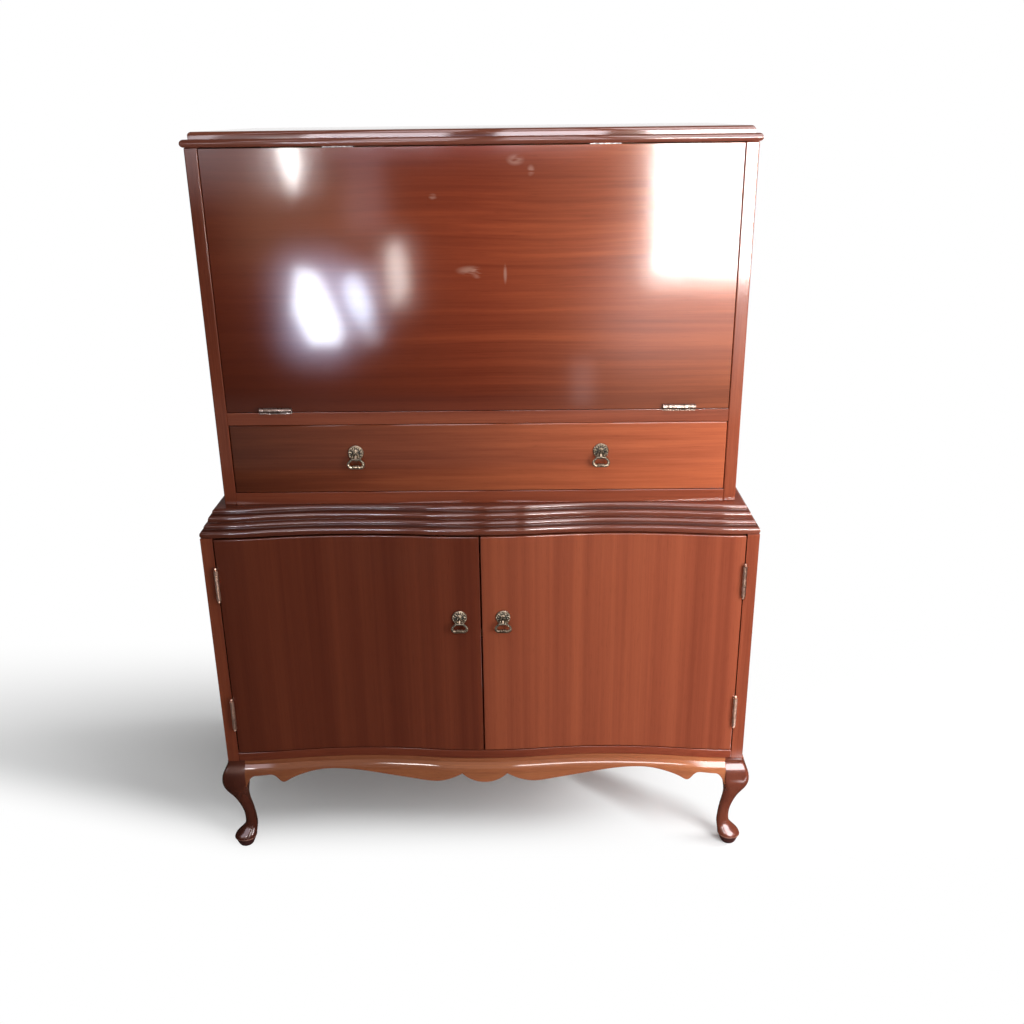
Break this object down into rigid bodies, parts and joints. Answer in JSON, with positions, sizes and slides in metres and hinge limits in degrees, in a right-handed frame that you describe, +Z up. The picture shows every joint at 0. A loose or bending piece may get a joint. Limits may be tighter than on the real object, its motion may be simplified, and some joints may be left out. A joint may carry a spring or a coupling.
{
  "type": "bar cabinet with fold out shelf",
  "caption": "Mahogany cocktail cabinet: a fall front folds down on slotted stays as a shelf, over a drawer with ring pulls and a serpentine cupboard on cabriole legs.",
  "frame": {"origin": "on the floor under the middle of the cabinet's bounding box, which is also the middle of the lower case", "axes": "+Z up, the front faces -Y, +X to the right as seen from the front"},
  "size_m": [0.9478, 0.4778, 1.245],
  "materials": {
    "case_mahogany": "high gloss reddish brown polish",
    "flap_veneer": "high gloss, figured mahogany veneer, grain across",
    "drawer_veneer": "high gloss, mahogany veneer, grain across",
    "door_veneer": "high gloss, striped mahogany veneer, grain upright",
    "interior_wood": "satin inside timber",
    "plywood": "plain plywood",
    "hinge_brass": "worn brass",
    "aged_brass": "dark patina in the hollows, bright on the high spots",
    "catch_steel": "dull plated steel"
  },
  "bodies": {
    "cabinet": {"top_board": "case_mahogany", "upper_side_left": "case_mahogany", "upper_side_right": "case_mahogany", "bar_floor": "case_mahogany", "drawer_board": "case_mahogany", "upper_back_panel": "plywood", "bar_shelf": "interior_wood", "shelf_bearers": "interior_wood", "waist_moulding_upper": "case_mahogany", "waist_moulding_lower": "case_mahogany", "lower_side_left": "case_mahogany", "lower_side_right": "case_mahogany", "lower_bottom_board": "case_mahogany", "lower_back_panel": "plywood", "cupboard_shelf": "interior_wood", "apron_front": "case_mahogany", "apron_left": "case_mahogany", "apron_right": "case_mahogany", "apron_back": "interior_wood", "leg_front_left": "case_mahogany", "leg_front_right": "case_mahogany", "leg_back_left": "case_mahogany", "leg_back_right": "case_mahogany", "corner_blocks": "interior_wood", "drawer_runners": "interior_wood", "drawer_stops": "interior_wood", "flap_hinge_case_leaves": "hinge_brass", "door_hinge_case_leaves": "hinge_brass", "hinge_pins": "hinge_brass", "case_hinge_screws": "hinge_brass", "stay_studs": "hinge_brass", "magnetic_catches": "catch_steel"},
    "flap": {"flap_panel": "flap_veneer", "flap_hinge_leaves": "hinge_brass", "flap_screws": "hinge_brass", "stay_brackets": "hinge_brass", "flap_strikes": "catch_steel"},
    "left_stay": {"stay_arm_left": "hinge_brass"},
    "right_stay": {"stay_arm_right": "hinge_brass"},
    "drawer": {"drawer_front": "drawer_veneer", "drawer_side_left": "interior_wood", "drawer_side_right": "interior_wood", "drawer_back": "interior_wood", "drawer_bottom": "plywood", "drawer_pull_plates": "aged_brass"},
    "drawer_left_ring": {"drawer_ring_left": "aged_brass"},
    "drawer_right_ring": {"drawer_ring_right": "aged_brass"},
    "left_door": {"door_left": "door_veneer", "left_door_hinge_leaves": "hinge_brass", "left_door_screws": "hinge_brass", "left_door_strike": "catch_steel", "left_door_pull_plate": "aged_brass"},
    "right_door": {"door_right": "door_veneer", "right_door_hinge_leaves": "hinge_brass", "right_door_screws": "hinge_brass", "right_door_strike": "catch_steel", "right_door_pull_plate": "aged_brass"},
    "left_door_pull": {"left_door_ring": "aged_brass"},
    "right_door_pull": {"right_door_ring": "aged_brass"}
  },
  "joints": [
    {"name": "flap_hinge", "type": "hinge", "parent": "cabinet", "child": "flap", "pos_m": [0, -0.187, 0.8235], "axis": [1, 0, 0], "range_deg": [0, 90]},
    {"name": "left_stay_pivot", "type": "hinge", "parent": "flap", "child": "left_stay", "pos_m": [-0.398, -0.15227, 1.02046], "axis": [1, 0, 0], "range_deg": [-45, 0]},
    {"name": "right_stay_pivot", "type": "hinge", "parent": "flap", "child": "right_stay", "pos_m": [0.398, -0.15227, 1.02046], "axis": [1, 0, 0], "range_deg": [-45, 0]},
    {"name": "drawer_slide", "type": "slide", "parent": "cabinet", "child": "drawer", "axis": [0, -1, 0], "range_m": [0, 0.3]},
    {"name": "left_door_hinge", "type": "hinge", "parent": "cabinet", "child": "left_door", "pos_m": [-0.43925, -0.229, 0.4], "axis": [0, 0, -1], "range_deg": [0, 160]},
    {"name": "right_door_hinge", "type": "hinge", "parent": "cabinet", "child": "right_door", "pos_m": [0.43925, -0.229, 0.4], "axis": [0, 0, 1], "range_deg": [0, 160]},
    {"name": "drawer_left_ring_pivot", "type": "hinge", "parent": "drawer", "child": "drawer_left_ring", "pos_m": [-0.2, -0.192, 0.741], "axis": [-1, 0, 0], "range_deg": [0, 85]},
    {"name": "left_door_ring_pivot", "type": "hinge", "parent": "left_door", "child": "left_door_pull", "pos_m": [-0.037, -0.22822, 0.458], "axis": [-1, 0, 0], "range_deg": [0, 85]},
    {"name": "drawer_right_ring_pivot", "type": "hinge", "parent": "drawer", "child": "drawer_right_ring", "pos_m": [0.2, -0.192, 0.741], "axis": [-1, 0, 0], "range_deg": [0, 85]},
    {"name": "right_door_ring_pivot", "type": "hinge", "parent": "right_door", "child": "right_door_pull", "pos_m": [0.037, -0.22822, 0.458], "axis": [-1, 0, 0], "range_deg": [0, 85]}
  ],
  "couplings": [
    {"joint": "left_stay_pivot", "follows": "flap_hinge", "ratio": -0.5},
    {"joint": "right_stay_pivot", "follows": "flap_hinge", "ratio": -0.5}
  ]
}
